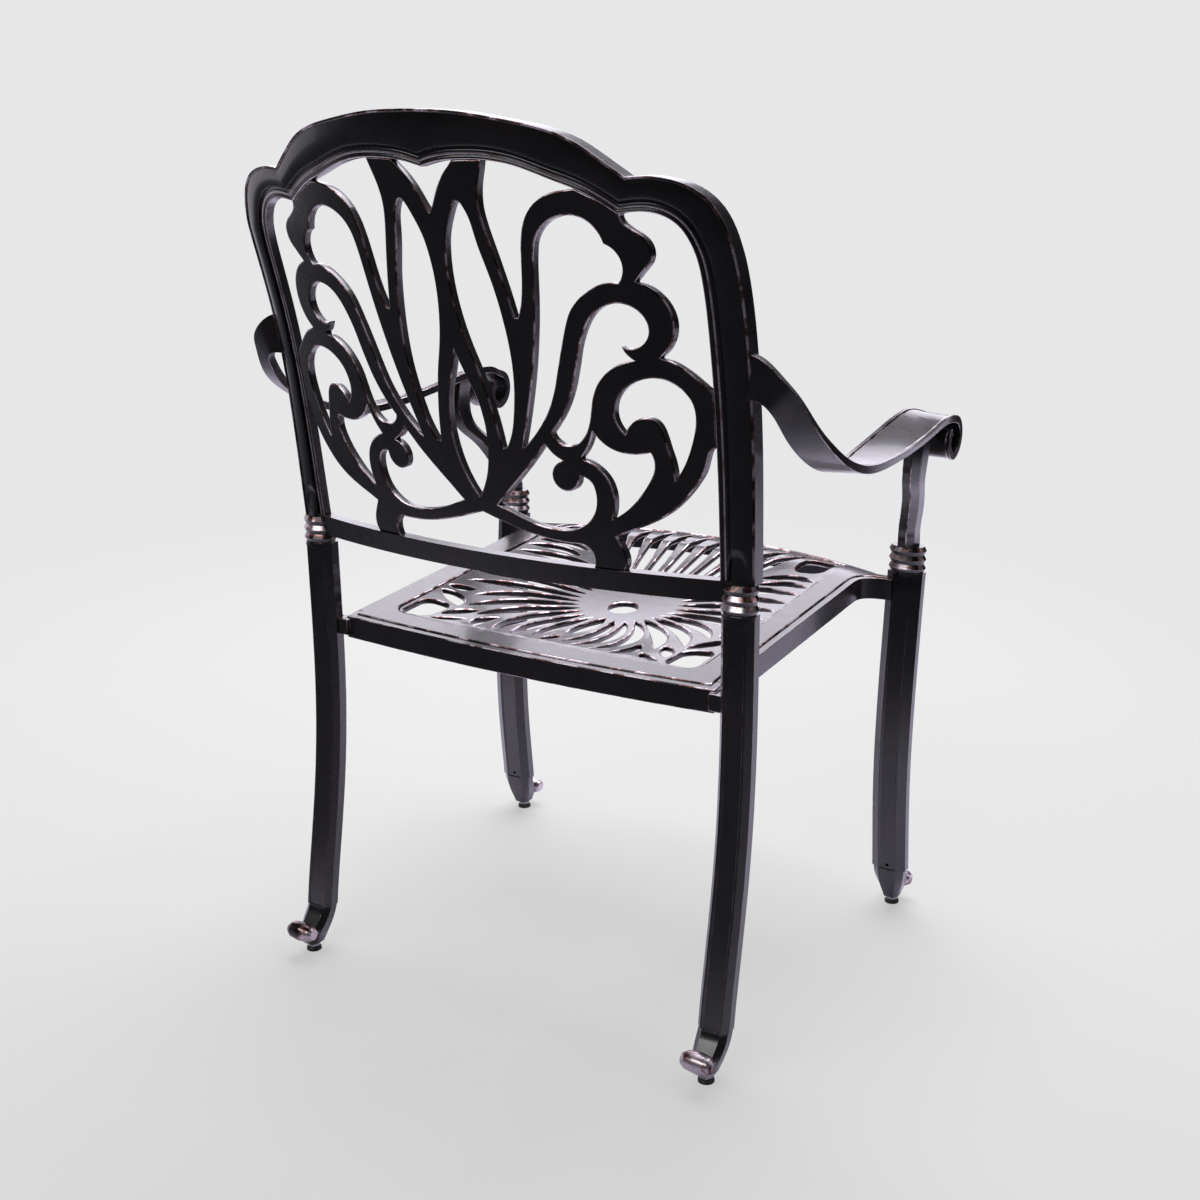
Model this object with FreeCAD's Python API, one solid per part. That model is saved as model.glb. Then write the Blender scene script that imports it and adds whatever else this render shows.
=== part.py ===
"""Ornamental cast garden armchair: bowed openwork back, scrolled arms, pierced lotus seat.

Millimetres. +Z is up, the sitter faces -Y and the sitter's left is +X.
The origin lies on the ground under the middle of the chair.
Left-hand pieces are modelled; the right-hand ones are their mirror images.
"""
import FreeCAD
import Part
import math
import os

V = FreeCAD.Vector

# ---------------------------------------------------------------- driving dimensions
# seat
SEAT_HEIGHT = 395.2          # rim at its rear corners
SEAT_SLOPE = 0.068           # rise of the rim towards the front
SEAT_WIDTH = 440.0
SEAT_DEPTH = 452.0           # rear corners to the middle of the front edge
SEAT_REAR_INSET = 12.5       # rear corners ahead of the rear legs' middle
SEAT_REAR_BOW = 10.0
SEAT_FRONT_BOW = 26.0
SEAT_CORNER = 45.0           # ends of the front's bow, in from the sides
SEAT_THICKNESS = 8.0
RIM_WIDTH = 28.0
FIELD_STEP = 1.5             # how far the lattice lies below the rim
DISH_DEPTH = 25.0            # how far the lattice sags in its middle
WATERFALL_REACH = 82.0       # how far behind the front edge the seat starts to turn down
WATERFALL_DROP = 16.0
RING_AHEAD = 205.0           # middle of the lattice, ahead of the rear corners
RING_HOLE = 17.0             # radius
CORNER_OPENING = (36.0, 52.0)  # across and front to rear
CORNER_ROUND = 12.0
HORN_SWEEP = 36.0            # radius of the sweep from the side of the rim out to a front leg
HORN_WIDTH = 18.0            # its end at the leg
HORN_LAP = 11.0              # its end, inside the front leg's middle
HORN_SWELL = 2.5             # how far its front edge swells
RAIL_THICKNESS = 8.0         # apron round the seat
RAIL_HEIGHT = 24.5
RAIL_STEP = 1.5              # how far the apron lies below the rim
STUB_HEIGHT = 18.0           # short arms from the apron to the rear legs
STUB_DEPTH = 14.0

# legs
REAR_LEG_X = SEAT_WIDTH / 2 + 35.5   # middle of a rear leg from the middle of the chair
REAR_LEG_Y = 159.5           # rear collar, front to rear
REAR_COLLAR_TOP = 506.0
REAR_COLLAR_HEIGHT = 29.5
REAR_LEG_WIDTH = 35.0
REAR_LEG_DEPTH = 24.0
FRONT_LEG_SETBACK = 68.0     # front collar behind the seat's front edge
FRONT_LEG_X = SEAT_WIDTH / 2 + 50.5
FRONT_LEG_Y = REAR_LEG_Y - SEAT_REAR_INSET - SEAT_DEPTH + FRONT_LEG_SETBACK
FRONT_COLLAR_TOP = 454.0
FRONT_COLLAR_HEIGHT = 30.5
FRONT_LEG_WIDTH = 42.0
FRONT_LEG_DEPTH = 23.0
COLLAR_RINGS = 3
COLLAR_PROUD = 2.6           # how far a ring stands out of the neck between rings
COLLAR_BAND = 4.5            # height of the plain step below the rings
PANEL_WIDTH = 20.0           # sunk panel down the front and rear of each leg
PANEL_SINK = 1.2
ANKLE_HEIGHT = 52.0          # where the leg turns into the foot
FOOT_BOTTOM = 10.5           # underside of the cast foot
TOE_RADIUS = 11.0            # the rolled toe: a barrel
TOE_LENGTH = 35.0
REAR_GLIDE_BEHIND = 48.0     # glide behind the rear collar's middle
FRONT_GLIDE_AHEAD = 12.5     # and ahead of the front one's
DRAIN_HOLE = 4.0             # in the rear of each front leg
DRAIN_ABOVE_ANKLE = 6.0

# back: a panel that leans and is bowed in plan
CROWN_TOP = 930.0            # height of the crown
BACK_LEAN = 0.232            # rearward lean at the foot of the stiles, per unit of height
BACK_CURL = 3.8e-5           # growth of the lean with height
BOW_FOOT = 870.0             # radius of the bow in plan at the foot of the stiles
BOW_WAIST = 585.0            # at its tightest
BOW_SHOULDER = 655.0         # and from the shoulders up
WAIST_ABOVE_FOOT = 214.0
SHOULDER_ABOVE_WAIST = 100.0
FRAME_DEPTH = 19.0           # front to rear thickness of the crown and stiles
BEAD_WIDTH = 9.0             # stepped bead round the inside of the frame
BEAD_STEP = 3.5
GROOVE_WIDTH = 2.5           # groove between the bead and the band outside it
GROOVE_DEPTH = 1.5           # below the bead
FRET_DEPTH = 10.0            # thickness of the fretwork
BACK_RAIL_TOP = 509.0        # lower rail of the back
BACK_RAIL_HEIGHT = 22.0
BACK_RAIL_DEPTH = 13.0

# arms
ARM_HEIGHT = 608.0           # top of the arm above the front leg
ARM_THICKNESS = 7.0
ARM_BEAD = 1.2               # height of the bead along each edge
ARM_BEAD_WIDTH = 3.5
ROLL_AHEAD = 10.5            # axis of the roll, behind the front leg's middle
ROLL_RADIUS = 23.5
ROLL_CORE = 9.0              # radius at the heart of the roll
ROLL_OUTER = 50.0            # ends of the roll, outside and inside the front leg's middle
ROLL_INNER = 13.5
POST_WIDTH = 18.0

# levelling glides
PAD_RADIUS = 8.5
PAD_HEIGHT = 5.0
STUD_RADIUS = 4.0
STUD_LENGTH = 22.0
HEX_ACROSS_FLATS = 13.0
HEX_HEIGHT = 4.9
PIVOT_RADIUS = 2.6           # end of the stud that turns in the pad
PIVOT_LENGTH = 3.0
TURN_CLEARANCE = 0.08        # radial clearance of turning parts
GLIDE_GAP = 0.3              # end clearance between parts that move
INSERT_RADIUS = 7.0
INSERT_LENGTH = 20.0


# ---------------------------------------------------------------- outlines and solids
ARC_TOLERANCE = 0.3          # how closely arcs follow a drawn curve


def curve(points):
    """Arcs that flow smoothly through the points, or one straight edge between two."""
    if len(points) == 2:
        return [Part.makeLine(points[0], points[1])]
    spline = Part.BSplineCurve()
    spline.interpolate(points)
    return [arc.toShape() for arc in spline.toBiArcs(ARC_TOLERANCE)]


def outline(runs):
    """A closed wire of smooth runs that meet in corners. A run starts where the last one ended."""
    edges = []
    start = runs[-1][-1]
    for run in runs:
        edges += curve([start] + run)
        start = run[-1]
    return Part.Wire(Part.__sortEdges__(edges))


def polygon(points):
    return Part.makePolygon(points + [points[0]])


def loft(wires, ruled=False):
    return Part.makeLoft(wires, True, ruled)


def box(x0, x1, y0, y1, z0, z1):
    return Part.makeBox(x1 - x0, y1 - y0, z1 - z0, V(x0, y0, z0))


def rod(x, y, z, radius, height):
    return Part.makeCylinder(radius, height, V(x, y, z))


def mirrored(shape):
    """The same piece on the sitter's right."""
    return shape.mirror(V(0, 0, 0), V(1, 0, 0))


def one_solid(shape):
    """The largest solid of a boolean result, with its split faces joined."""
    return max(shape.removeSplitter().Solids, key=lambda solid: solid.Volume)


def sheet(place, rows, thickness):
    """A sheet of even thickness behind a grid of points, thickened along the given vector."""
    surface = Part.BSplineSurface()
    surface.interpolate([[place(a, b) for b in rows[1]] for a in rows[0]])
    return surface.toShape().extrude(thickness)


def spaced(low, high, count):
    return [low + (high - low) * i / (count - 1) for i in range(count)]


# ---------------------------------------------------------------- back
# The outlines of the back are drawn in its front view, as (x, z), for these sizes.
# They stretch sideways with the rear legs and upwards with the crown.
DRAWN_LEG_X = 255.5
DRAWN_RAIL_TOP = 509.0
DRAWN_CROWN_TOP = 930.0

# frame, from the stile's foot over the shoulder to the crown's middle
SHOULDER_OUTER = [(272.2, 506), (273.6, 579), (275.7, 740), (275.4, 790), (269.6, 834), (258, 857),
                  (242, 869.5), (222, 875.5), (206, 876.8), (192.7, 875.4)]
CROWN_OUTER = [(171.5, 891.5), (150, 906), (94.6, 921.5), (50, 928), (0, 930)]
SHOULDER_INNER = [(239.2, 506), (240.6, 579), (242.7, 740), (242.7, 788), (238, 820), (226, 838.5),
                  (208, 846.3), (194, 846.6), (180, 844.6)]
CROWN_INNER = [(152.3, 862), (125.4, 872.3), (94.6, 883), (63.8, 887.7), (40.8, 887.7), (17.7, 885.4), (0, 881)]

# contour of the fretwork, from the notch between the leaves round to the middle of the lower edge
LEAF_NOTCH = (0, 841)
LEAF_INNER = [(9, 857), (17.5, 871), (27, 881), (36.9, 892)]
LEAF_TIP = [(63.8, 892)]
LEAF_OUTER = [(60, 878), (54.3, 858), (53.8, 840), (58, 818), (65.8, 780), (71.0, 750)]
VALLEY = [(74.2, 750)]
FIRST_LOBE_INNER = [(82, 774), (88.8, 818), (95, 838), (106, 852), (119.6, 860), (136, 864), (152, 866)]
FIRST_LOBE_TOP = [(184, 850), (181.5, 843)]
FIRST_LOBE_OUTER = [(187, 834), (196, 828.5), (203.3, 820), (203.8, 808), (197, 797), (187.5, 787)]
SECOND_LOBE = [(198.5, 782), (210, 770), (216, 752), (211.5, 733), (200, 719)]
THIRD_LOBE_UPPER = [(217.7, 711), (229, 701), (236, 694), (246, 684)]
THIRD_LOBE_SIDE = [(246, 636)]
THIRD_LOBE_LOWER = [(238.5, 636), (232, 620), (221, 599), (206, 580), (187, 564.6), (164, 553), (143, 543.5)]
TAB_OUTER = [(148.5, 532), (151.5, 519), (148, 509)]
TAB_FOOT = [(117, 509)]
TAB_INNER = [(118.5, 518), (115.5, 527), (107, 532)]
LOWER_EDGE = [(86, 532), (62, 535), (38, 540.5), (17.7, 547), (0, 553)]

# openings of the fretwork on the sitter's left, each a list of runs that meet in corners
INNER_LEAF_OPENING = [
    [(40, 622)],
    [(49, 640), (56, 668), (60.3, 700), (58.5, 745), (52, 786), (43.8, 818.5), (37.5, 845), (32, 852),
     (21.5, 839.6), (13.5, 821), (9.5, 800), (9.2, 764.6), (14.5, 730), (23.5, 698), (30.5, 667), (36, 622)],
]
FIRST_LOBE_OPENING = [
    [(78, 645), (94.6, 672), (106, 705), (117.7, 741.5), (127.5, 762), (139, 773.5), (153, 782.5), (172.5, 785.4)],
    [(177.2, 797), (174, 811), (164.5, 819)],
    [(159, 831), (149, 840), (135, 842.5), (117.7, 837), (105, 824), (98.5, 802), (93.5, 764.6),
     (84.5, 717), (75.4, 680), (67, 651), (58, 624)],
]
SECOND_LOBE_OPENING = [
    [(97, 633.5), (108, 631.5), (118.5, 636.5)],
    [(128, 651), (135, 678), (144.6, 697), (158, 709), (178, 715.5)],
    [(171, 721), (167.5, 728)],
    [(177, 726.5), (187, 731.5), (192.5, 742), (190, 755), (181, 764), (168, 767), (156, 764),
     (146, 756.5), (135, 739.5), (125, 711), (113.5, 676.5), (101.5, 655.5), (91, 642)],
]
THIRD_LOBE_OPENING = [
    [(167.7, 656), (177, 662), (186, 662.5), (193.5, 656), (198, 640), (203, 620), (203.5, 604)],
    [(213, 620), (221, 642), (225, 664), (222.5, 680), (213, 692.5), (202, 699), (191, 700.5),
     (172, 694), (159, 682), (154, 667), (156, 655), (162, 646)],
]
COMMA_OPENING = [
    [(140, 636), (152, 629), (168, 627), (183, 629.5)],
    [(185.5, 618), (181, 603), (172, 589), (158, 573), (141, 560.5)],
    [(145, 577), (144, 593), (138, 606), (128.5, 614.5), (117, 619.5)],
    [(126, 632), (131.5, 647)],
]
SCROLL_OPENING = [
    [(44.6, 587.7), (66, 611), (82, 631)],
    [(87, 623.5), (99, 615.5)],
    [(88, 608.5), (85.5, 596), (92, 587), (103, 586), (110.5, 593), (112.5, 602)],
    [(121, 599), (126.5, 588), (126, 572), (118, 557), (103, 547.5), (79, 545.2), (56, 549), (37, 556), (20, 562.7)],
]
SIDE_OPENINGS = [INNER_LEAF_OPENING, FIRST_LOBE_OPENING, SECOND_LOBE_OPENING, THIRD_LOBE_OPENING, COMMA_OPENING,
                 SCROLL_OPENING]
# the spear between the leaves, right down its left side from tip to point
SPEAR_TIP = (0, 716)
SPEAR_SIDE = [(8, 691), (16.5, 668), (20, 641), (17.5, 611), (11, 589), (0, 568.5)]

BACK_REACH = 320.0           # half width of the sheet that the back is cut from
BACK_SPARE = 40.0            # how far that sheet runs past the foot and the crown


def bow_radius(z):
    """Radius of the back in plan: tightest at the waist, flatter at the foot and the shoulders."""
    above = z - REAR_COLLAR_TOP - WAIST_ABOVE_FOOT
    if above < 0:
        return BOW_WAIST + (BOW_FOOT - BOW_WAIST) * (above / WAIST_ABOVE_FOOT) ** 2
    return BOW_WAIST + (BOW_SHOULDER - BOW_WAIST) * min(above / SHOULDER_ABOVE_WAIST, 1) ** 2


def back_y(x, z):
    """Middle surface of the back. It passes through the tops of the rear collars."""
    rise = z - REAR_COLLAR_TOP
    foot = REAR_LEG_Y + REAR_LEG_X ** 2 / (2 * BOW_FOOT)
    return foot + BACK_LEAN * rise + BACK_CURL * rise * rise - x * x / (2 * bow_radius(z))


def back_sheet(front, rear):
    """A bowed sheet between two offsets from the middle surface, measured front to rear."""
    rows = (spaced(-BACK_REACH, BACK_REACH, 9), spaced(REAR_COLLAR_TOP - BACK_SPARE, CROWN_TOP + BACK_SPARE, 9))
    return sheet(lambda x, z: V(x, back_y(x, z) + front, z), rows, V(0, rear - front, 0))


def drawn(points, side=1):
    """Points of an outline of the back at its real size, standing in front of it."""
    wide = side * REAR_LEG_X / DRAWN_LEG_X
    tall = (CROWN_TOP - BACK_RAIL_TOP) / (DRAWN_CROWN_TOP - DRAWN_RAIL_TOP)
    return [V(x * wide, 0, BACK_RAIL_TOP + (z - DRAWN_RAIL_TOP) * tall) for x, z in points]


def through(face):
    """A block with the given front view that reaches through the whole back."""
    return face.extrude(V(0, 2 * REAR_LEG_Y + CROWN_TOP / 2, 0))


def both_sides(half, start):
    """Runs of one half of a contour, then of its other half back to the start."""
    starts = [start] + [run[-1] for run in half[:-1]]
    left = [drawn(run) for run in half]
    right = [drawn(list(reversed(run[:-1])) + [before], -1) for run, before in zip(reversed(half), reversed(starts))]
    return left + right


def moved(points, distance):
    """An outline's points moved square to it, outwards where it is walked anticlockwise."""
    result = []
    for i, (x, z) in enumerate(points):
        before = points[max(i - 1, 0)]
        after = points[min(i + 1, len(points) - 1)]
        step_x = after[0] - before[0]
        step_z = after[1] - before[1]
        length = math.hypot(step_x, step_z)
        result.append((x + distance * step_z / length, z - distance * step_x / length))
    return result


def frame_face(shoulder, crown, grow, below, pointed):
    """All that lies inside one edge of the frame, down to a straight line below the stiles' feet."""
    points = moved(shoulder + crown, grow)
    shoulder = points[:len(shoulder)]
    crown = points[len(shoulder):-1] + [(0, points[-1][1])]
    foot = (shoulder[0][0], SHOULDER_OUTER[0][1] - below)
    if pointed:
        return Part.Face(outline(both_sides([shoulder[:1], shoulder[1:], crown], foot) + [drawn([foot])]))
    left = [drawn(shoulder[:1]), drawn(shoulder[1:])]
    over = drawn(crown) + drawn(list(reversed(crown[:-1])) + shoulder[-1:], -1)
    right = [drawn(list(reversed(shoulder[:-1])), -1), drawn([foot], -1)]
    return Part.Face(outline(left + [over] + right + [drawn([foot])]))


def back_frame():
    """Crown and stiles in one casting, with a groove and a stepped bead round the inside of both faces."""
    outer = frame_face(SHOULDER_OUTER, CROWN_OUTER, 0, 2 * BEAD_WIDTH, False)
    inner = frame_face(SHOULDER_INNER, CROWN_INNER, 0, 3 * BEAD_WIDTH, True)
    bead = frame_face(SHOULDER_INNER, CROWN_INNER, BEAD_WIDTH, 3 * BEAD_WIDTH, True)
    grooved = frame_face(SHOULDER_INNER, CROWN_INNER, BEAD_WIDTH + GROOVE_WIDTH, 4 * BEAD_WIDTH, True)
    half = FRAME_DEPTH / 2
    past = half + BEAD_WIDTH
    body = back_sheet(-half, half).common(through(outer.cut(inner)))
    for region, deep in ((bead, BEAD_STEP), (grooved.cut(bead), BEAD_STEP + GROOVE_DEPTH)):
        for front, rear in ((-past, deep - half), (half - deep, past)):
            body = body.cut(back_sheet(front, rear).common(through(region)))
    wide = 2 * REAR_LEG_X
    foot = box(-wide, wide, -wide, wide, 0, REAR_COLLAR_TOP)
    return one_solid(body.cut(foot))


def back_fretwork():
    """Tulip fretwork: two leaves, three lobes a side and low scrolls. It fills the frame and stands on the rail."""
    contour = [LEAF_INNER, LEAF_TIP, LEAF_OUTER, VALLEY, FIRST_LOBE_INNER, FIRST_LOBE_TOP, FIRST_LOBE_OUTER,
               SECOND_LOBE, THIRD_LOBE_UPPER, THIRD_LOBE_SIDE, THIRD_LOBE_LOWER, TAB_OUTER, TAB_FOOT, TAB_INNER,
               LOWER_EDGE]
    wires = [outline(both_sides(contour, LEAF_NOTCH)), outline(both_sides([SPEAR_SIDE], SPEAR_TIP))]
    for runs in SIDE_OPENINGS:
        for side in (1, -1):
            wires.append(outline([drawn(run, side) for run in runs]))
    face = Part.makeFace(wires, "Part::FaceMakerBullseye")
    inside = frame_face(SHOULDER_INNER, CROWN_INNER, 0, BEAD_WIDTH, True)
    half = FRET_DEPTH / 2
    return one_solid(back_sheet(-half, half).common(through(face.common(inside))))


def back_rail(frame, legs):
    """Lower rail of the back, bowed like the back, between the rear legs."""
    low = BACK_RAIL_TOP - BACK_RAIL_HEIGHT
    points = [V(-REAR_LEG_X, 0, low), V(REAR_LEG_X, 0, low), V(REAR_LEG_X, 0, BACK_RAIL_TOP),
              V(-REAR_LEG_X, 0, BACK_RAIL_TOP)]
    half = BACK_RAIL_DEPTH / 2
    rail = back_sheet(-half, half).common(through(Part.Face(polygon(points)))).cut(frame)
    for leg in legs:
        rail = rail.cut(leg)
    return one_solid(rail)


# ---------------------------------------------------------------- legs
# centre lines: share of the height from ankle to collar, and distance behind the collar's middle
REAR_LEG_LINE = [(1, -2), (0.89, -3.1), (0.671, -4.2), (0.449, 0.3), (0.222, 13.5), (0, 29)]
FRONT_LEG_LINE = [(1, 0), (0.683, 9.4), (0.482, 12.6), (0.295, 11), (0.142, 5.6), (0, -0.7)]
# feet: share of the height from the foot's underside to the ankle, distance behind the collar, depth, width
REAR_FOOT_LINE = [(1, 29, 24, 33), (0.66, 36, 27, 33), (0.35, 44, 33, 29), (0, 47, 24, 20)]
FRONT_FOOT_LINE = [(1, -0.7, 23, 38), (0.66, -4, 26, 35), (0.35, -10, 30, 28), (0, -12, 22, 19)]
REAR_TOE = (66.5, 30)        # behind the collar's middle, height
FRONT_TOE = (-27.5, 27.5)
TOE_PROFILE = [(-1, 0.55), (-0.7, 0.86), (0, 1), (0.7, 0.86), (1, 0.55)]  # shares of half its length, of its radius
REAR_GLIDE_Y = REAR_LEG_Y + REAR_GLIDE_BEHIND
FRONT_GLIDE_Y = FRONT_LEG_Y - FRONT_GLIDE_AHEAD


def section(x, y, z, width, depth, flat, sink=0.0):
    """A level section: an octagon, with a sunk panel in its front and rear faces where it has one."""
    w = width / 2
    d = depth / 2
    f = flat / 2
    p = PANEL_WIDTH / 2
    side = 0.45 * d
    rear = [(w, -side), (w, side), (f, d)]
    if sink:
        rear += [(p, d), (p - sink, d - sink), (sink - p, d - sink), (-p, d)]
    rear += [(-f, d)]
    corners = rear + [(-u, -v) for u, v in rear]
    return polygon([V(x + u, y + v, z) for u, v in corners])


def collar(x, y, width, depth, top, height):
    """Turned rings, oval in plan, with a V profile, over a plain step."""
    def oval(proud, z):
        edge = Part.Ellipse(V(0, 0, 0), width / 2 + proud, depth / 2 + proud).toShape()
        edge.translate(V(x, y, z))
        return Part.Wire([edge])

    steps = 2 * COLLAR_RINGS
    low = top - height
    rings = [oval(COLLAR_PROUD if i % 2 else 0, low + height * i / steps) for i in range(steps + 1)]
    band = COLLAR_PROUD / 2
    return loft([oval(band, low - COLLAR_BAND), oval(band, low)] + rings, ruled=True)


def barrel(x, y, z):
    """The rolled toe: a bar thicker in its middle, lying across the foot."""
    rings = []
    for across, thick in TOE_PROFILE:
        ring = Part.Circle(V(x + across * TOE_LENGTH / 2, y, z), V(1, 0, 0), thick * TOE_RADIUS)
        rings.append(Part.Wire([ring.toShape()]))
    return loft(rings, ruled=True)


def cast_leg(x, y, line, foot_line, toe_place, top, glide_y, width, depth, flat):
    """Shaft, foot and rolled toe in one, bored for the threaded insert."""
    reach = top - ANKLE_HEIGHT
    shaft = loft([section(x, y + dy, ANKLE_HEIGHT + share * reach, width, depth, flat, PANEL_SINK)
                  for share, dy in line])
    foot_height = ANKLE_HEIGHT - FOOT_BOTTOM
    foot = loft([section(x, y + dy, FOOT_BOTTOM + share * foot_height, wide, deep, 0.6 * wide)
                 for share, dy, deep, wide in foot_line])
    toe_y, toe_z = toe_place
    toe = barrel(x, y + toe_y, toe_z)
    bore = rod(x, glide_y, FOOT_BOTTOM, INSERT_RADIUS, INSERT_LENGTH)
    stud_room = rod(x, glide_y, FOOT_BOTTOM, STUD_RADIUS + TURN_CLEARANCE, STUD_LENGTH + 1)
    return shaft.fuse([foot, toe]), bore.fuse(stud_room)


def rear_leg():
    """Left rear leg: sabre-curved, with a ringed collar on top and a toe rolled to the rear."""
    shaft, bore = cast_leg(REAR_LEG_X, REAR_LEG_Y, REAR_LEG_LINE, REAR_FOOT_LINE, REAR_TOE,
                           REAR_COLLAR_TOP - REAR_COLLAR_HEIGHT, REAR_GLIDE_Y, REAR_LEG_WIDTH, REAR_LEG_DEPTH,
                           0.7 * REAR_LEG_WIDTH)
    rings = collar(REAR_LEG_X, REAR_LEG_Y, REAR_LEG_WIDTH - 2, REAR_LEG_DEPTH + 2, REAR_COLLAR_TOP,
                   REAR_COLLAR_HEIGHT)
    return one_solid(shaft.fuse(rings).cut(bore))


def front_leg():
    """Left front leg: lens-shaped in section, with a ringed collar, a drain hole and a toe rolled forward."""
    shaft, bore = cast_leg(FRONT_LEG_X, FRONT_LEG_Y, FRONT_LEG_LINE, FRONT_FOOT_LINE, FRONT_TOE,
                           FRONT_COLLAR_TOP - FRONT_COLLAR_HEIGHT, FRONT_GLIDE_Y, FRONT_LEG_WIDTH, FRONT_LEG_DEPTH,
                           PANEL_WIDTH + 3)
    rings = collar(FRONT_LEG_X, FRONT_LEG_Y, FRONT_LEG_WIDTH - 4, FRONT_LEG_DEPTH + 3, FRONT_COLLAR_TOP,
                   FRONT_COLLAR_HEIGHT)
    drain = Part.makeCylinder(DRAIN_HOLE / 2, FRONT_LEG_DEPTH, V(FRONT_LEG_X, FRONT_LEG_Y + 3,
                              ANKLE_HEIGHT + DRAIN_ABOVE_ANKLE), V(0, 1, 0))
    return one_solid(shaft.fuse(rings).cut(bore).cut(drain))


# ---------------------------------------------------------------- arms
# The arm as pairs of points on its outer and on its inner edge. Each gives the share of the way from the
# rear leg to the front one, the distance outside the line of the legs, and the height over the arm's top.
ARM_STATIONS = [
    ((-0.072, 6.5, 119), (-0.062, 6.5, 76)),
    ((-0.072, 18.5, 117), (-0.064, 18.5, 76)),
    ((-0.074, 33.5, 111), (-0.068, 27.5, 75)),
    ((-0.069, 48.5, 98), (-0.063, 34, 70)),
    ((-0.039, 60.5, 79), (-0.039, 38.5, 58)),
    ((0.004, 69.4, 53.5), (0.001, 41.5, 40)),
    ((0.079, 72.6, 28), (0.087, 40.4, 17)),
    ((0.17, 71.4, 8), (0.178, 36.8, 1)),
    ((0.261, 68.6, -5), (0.259, 33.6, -8)),
    ((0.357, 65.1, -13), (0.352, 28.2, -12.5)),
    ((0.473, 60.9, -16.2), (0.468, 20.5, -10)),
    ((0.591, 57.1, -16.2), (0.596, 15.1, -4.5)),
    ((0.718, 54.2, -13), (0.718, 11, 2)),
    ((0.826, 52.1, -7.4), (0.826, 8.1, 6.2)),
    ((0.914, 50.8, -2.2), (0.914, 8.3, 4.6)),
]
ROLL_ANGLES = (5, 40, 75, 110, 145, 180, 215, 250, 285, 320)
# the post: outwards and behind the front collar's middle, share of its height, depth
POST_LINE = [(0.2, 0.5, 0, 34), (3.4, 9.3, 0.129, 32), (10.4, 23.4, 0.287, 33), (19.1, 45.5, 0.465, 32),
             (26, 66, 0.591, 33), (30, 74, 0.736, 38), (30.2, 72, 0.887, 44), (30.2, 70, 1.09, 48)]


def arm_point(point):
    """A station's point in place."""
    share, outside, rise = point
    x = REAR_LEG_X + min(max(share, 0), 1) * (FRONT_LEG_X - REAR_LEG_X)
    return V(x + outside, REAR_LEG_Y - share * (REAR_LEG_Y - FRONT_LEG_Y), ARM_HEIGHT + rise)


def roll_pair(angle):
    """Edge points on the roll. The angle runs forward and down from its top, and past half a turn it tightens."""
    turn = math.radians(angle)
    radius = ROLL_RADIUS - ARM_THICKNESS / 2
    radius -= (radius - ROLL_CORE) * max(angle - 180, 0) / (ROLL_ANGLES[-1] - 180)
    y = FRONT_LEG_Y + ROLL_AHEAD - radius * math.sin(turn)
    z = ARM_HEIGHT - ROLL_RADIUS + radius * math.cos(turn)
    return V(FRONT_LEG_X + ROLL_OUTER, y, z), V(FRONT_LEG_X + ROLL_INNER, y, z)


def strap_section(outer, inner, along):
    """Section of the arm: a flat strap with a bead along each edge of its upper side."""
    across = outer - inner
    width = across.Length
    across.normalize()
    normal = along.cross(across)
    normal.normalize()
    half = ARM_THICKNESS / 2
    top = half + ARM_BEAD
    inside = ARM_BEAD_WIDTH + ARM_BEAD
    profile = [(0, -half), (width, -half), (width, top), (width - ARM_BEAD_WIDTH, top), (width - inside, half),
               (inside, half), (ARM_BEAD_WIDTH, top), (0, top)]
    return polygon([inner + across * u + normal * v for u, v in profile])


def arm(frame):
    """Left arm: a strap that leaves the stile upright, twists level and rolls over at the front."""
    pairs = [(arm_point(outer), arm_point(inner)) for outer, inner in ARM_STATIONS]
    pairs += [roll_pair(angle) for angle in ROLL_ANGLES]
    wires = []
    for i, (outer, inner) in enumerate(pairs):
        before = pairs[max(i - 1, 0)]
        after = pairs[min(i + 1, len(pairs) - 1)]
        along = (after[0] + after[1]) - (before[0] + before[1])
        along.normalize()
        wires.append(strap_section(outer, inner, along))
    return one_solid(loft(wires).cut(frame))


def arm_post(strap):
    """Left arm post: a cranked bar with sharp arrises, from the front collar up to the underside of the arm."""
    w = POST_WIDTH / 2
    height = ARM_HEIGHT - FRONT_COLLAR_TOP
    wires = []
    for dx, dy, share, depth in POST_LINE:
        d = depth / 2
        corners = [(w, -0.75 * d), (w, 0.35 * d), (0.3 * w, d), (-w, 0.7 * d), (-w, -0.4 * d), (-0.3 * w, -d)]
        x = FRONT_LEG_X + dx
        y = FRONT_LEG_Y + dy
        z = FRONT_COLLAR_TOP + share * height
        wires.append(polygon([V(x + u, y + v, z) for u, v in corners]))
    pieces = loft(wires).cut(strap).Solids
    return min(pieces, key=lambda solid: solid.BoundBox.ZMin)


# ---------------------------------------------------------------- seat
SEAT_HALF = SEAT_WIDTH / 2
SEAT_REAR_Y = REAR_LEG_Y - SEAT_REAR_INSET
SEAT_FRONT_Y = SEAT_REAR_Y - SEAT_DEPTH

# The lattice is drawn in plan as (x, distance ahead of the rear corners), on a seat of this width and depth.
DRAWN_SEAT = (440.0, 452.0)
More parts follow.
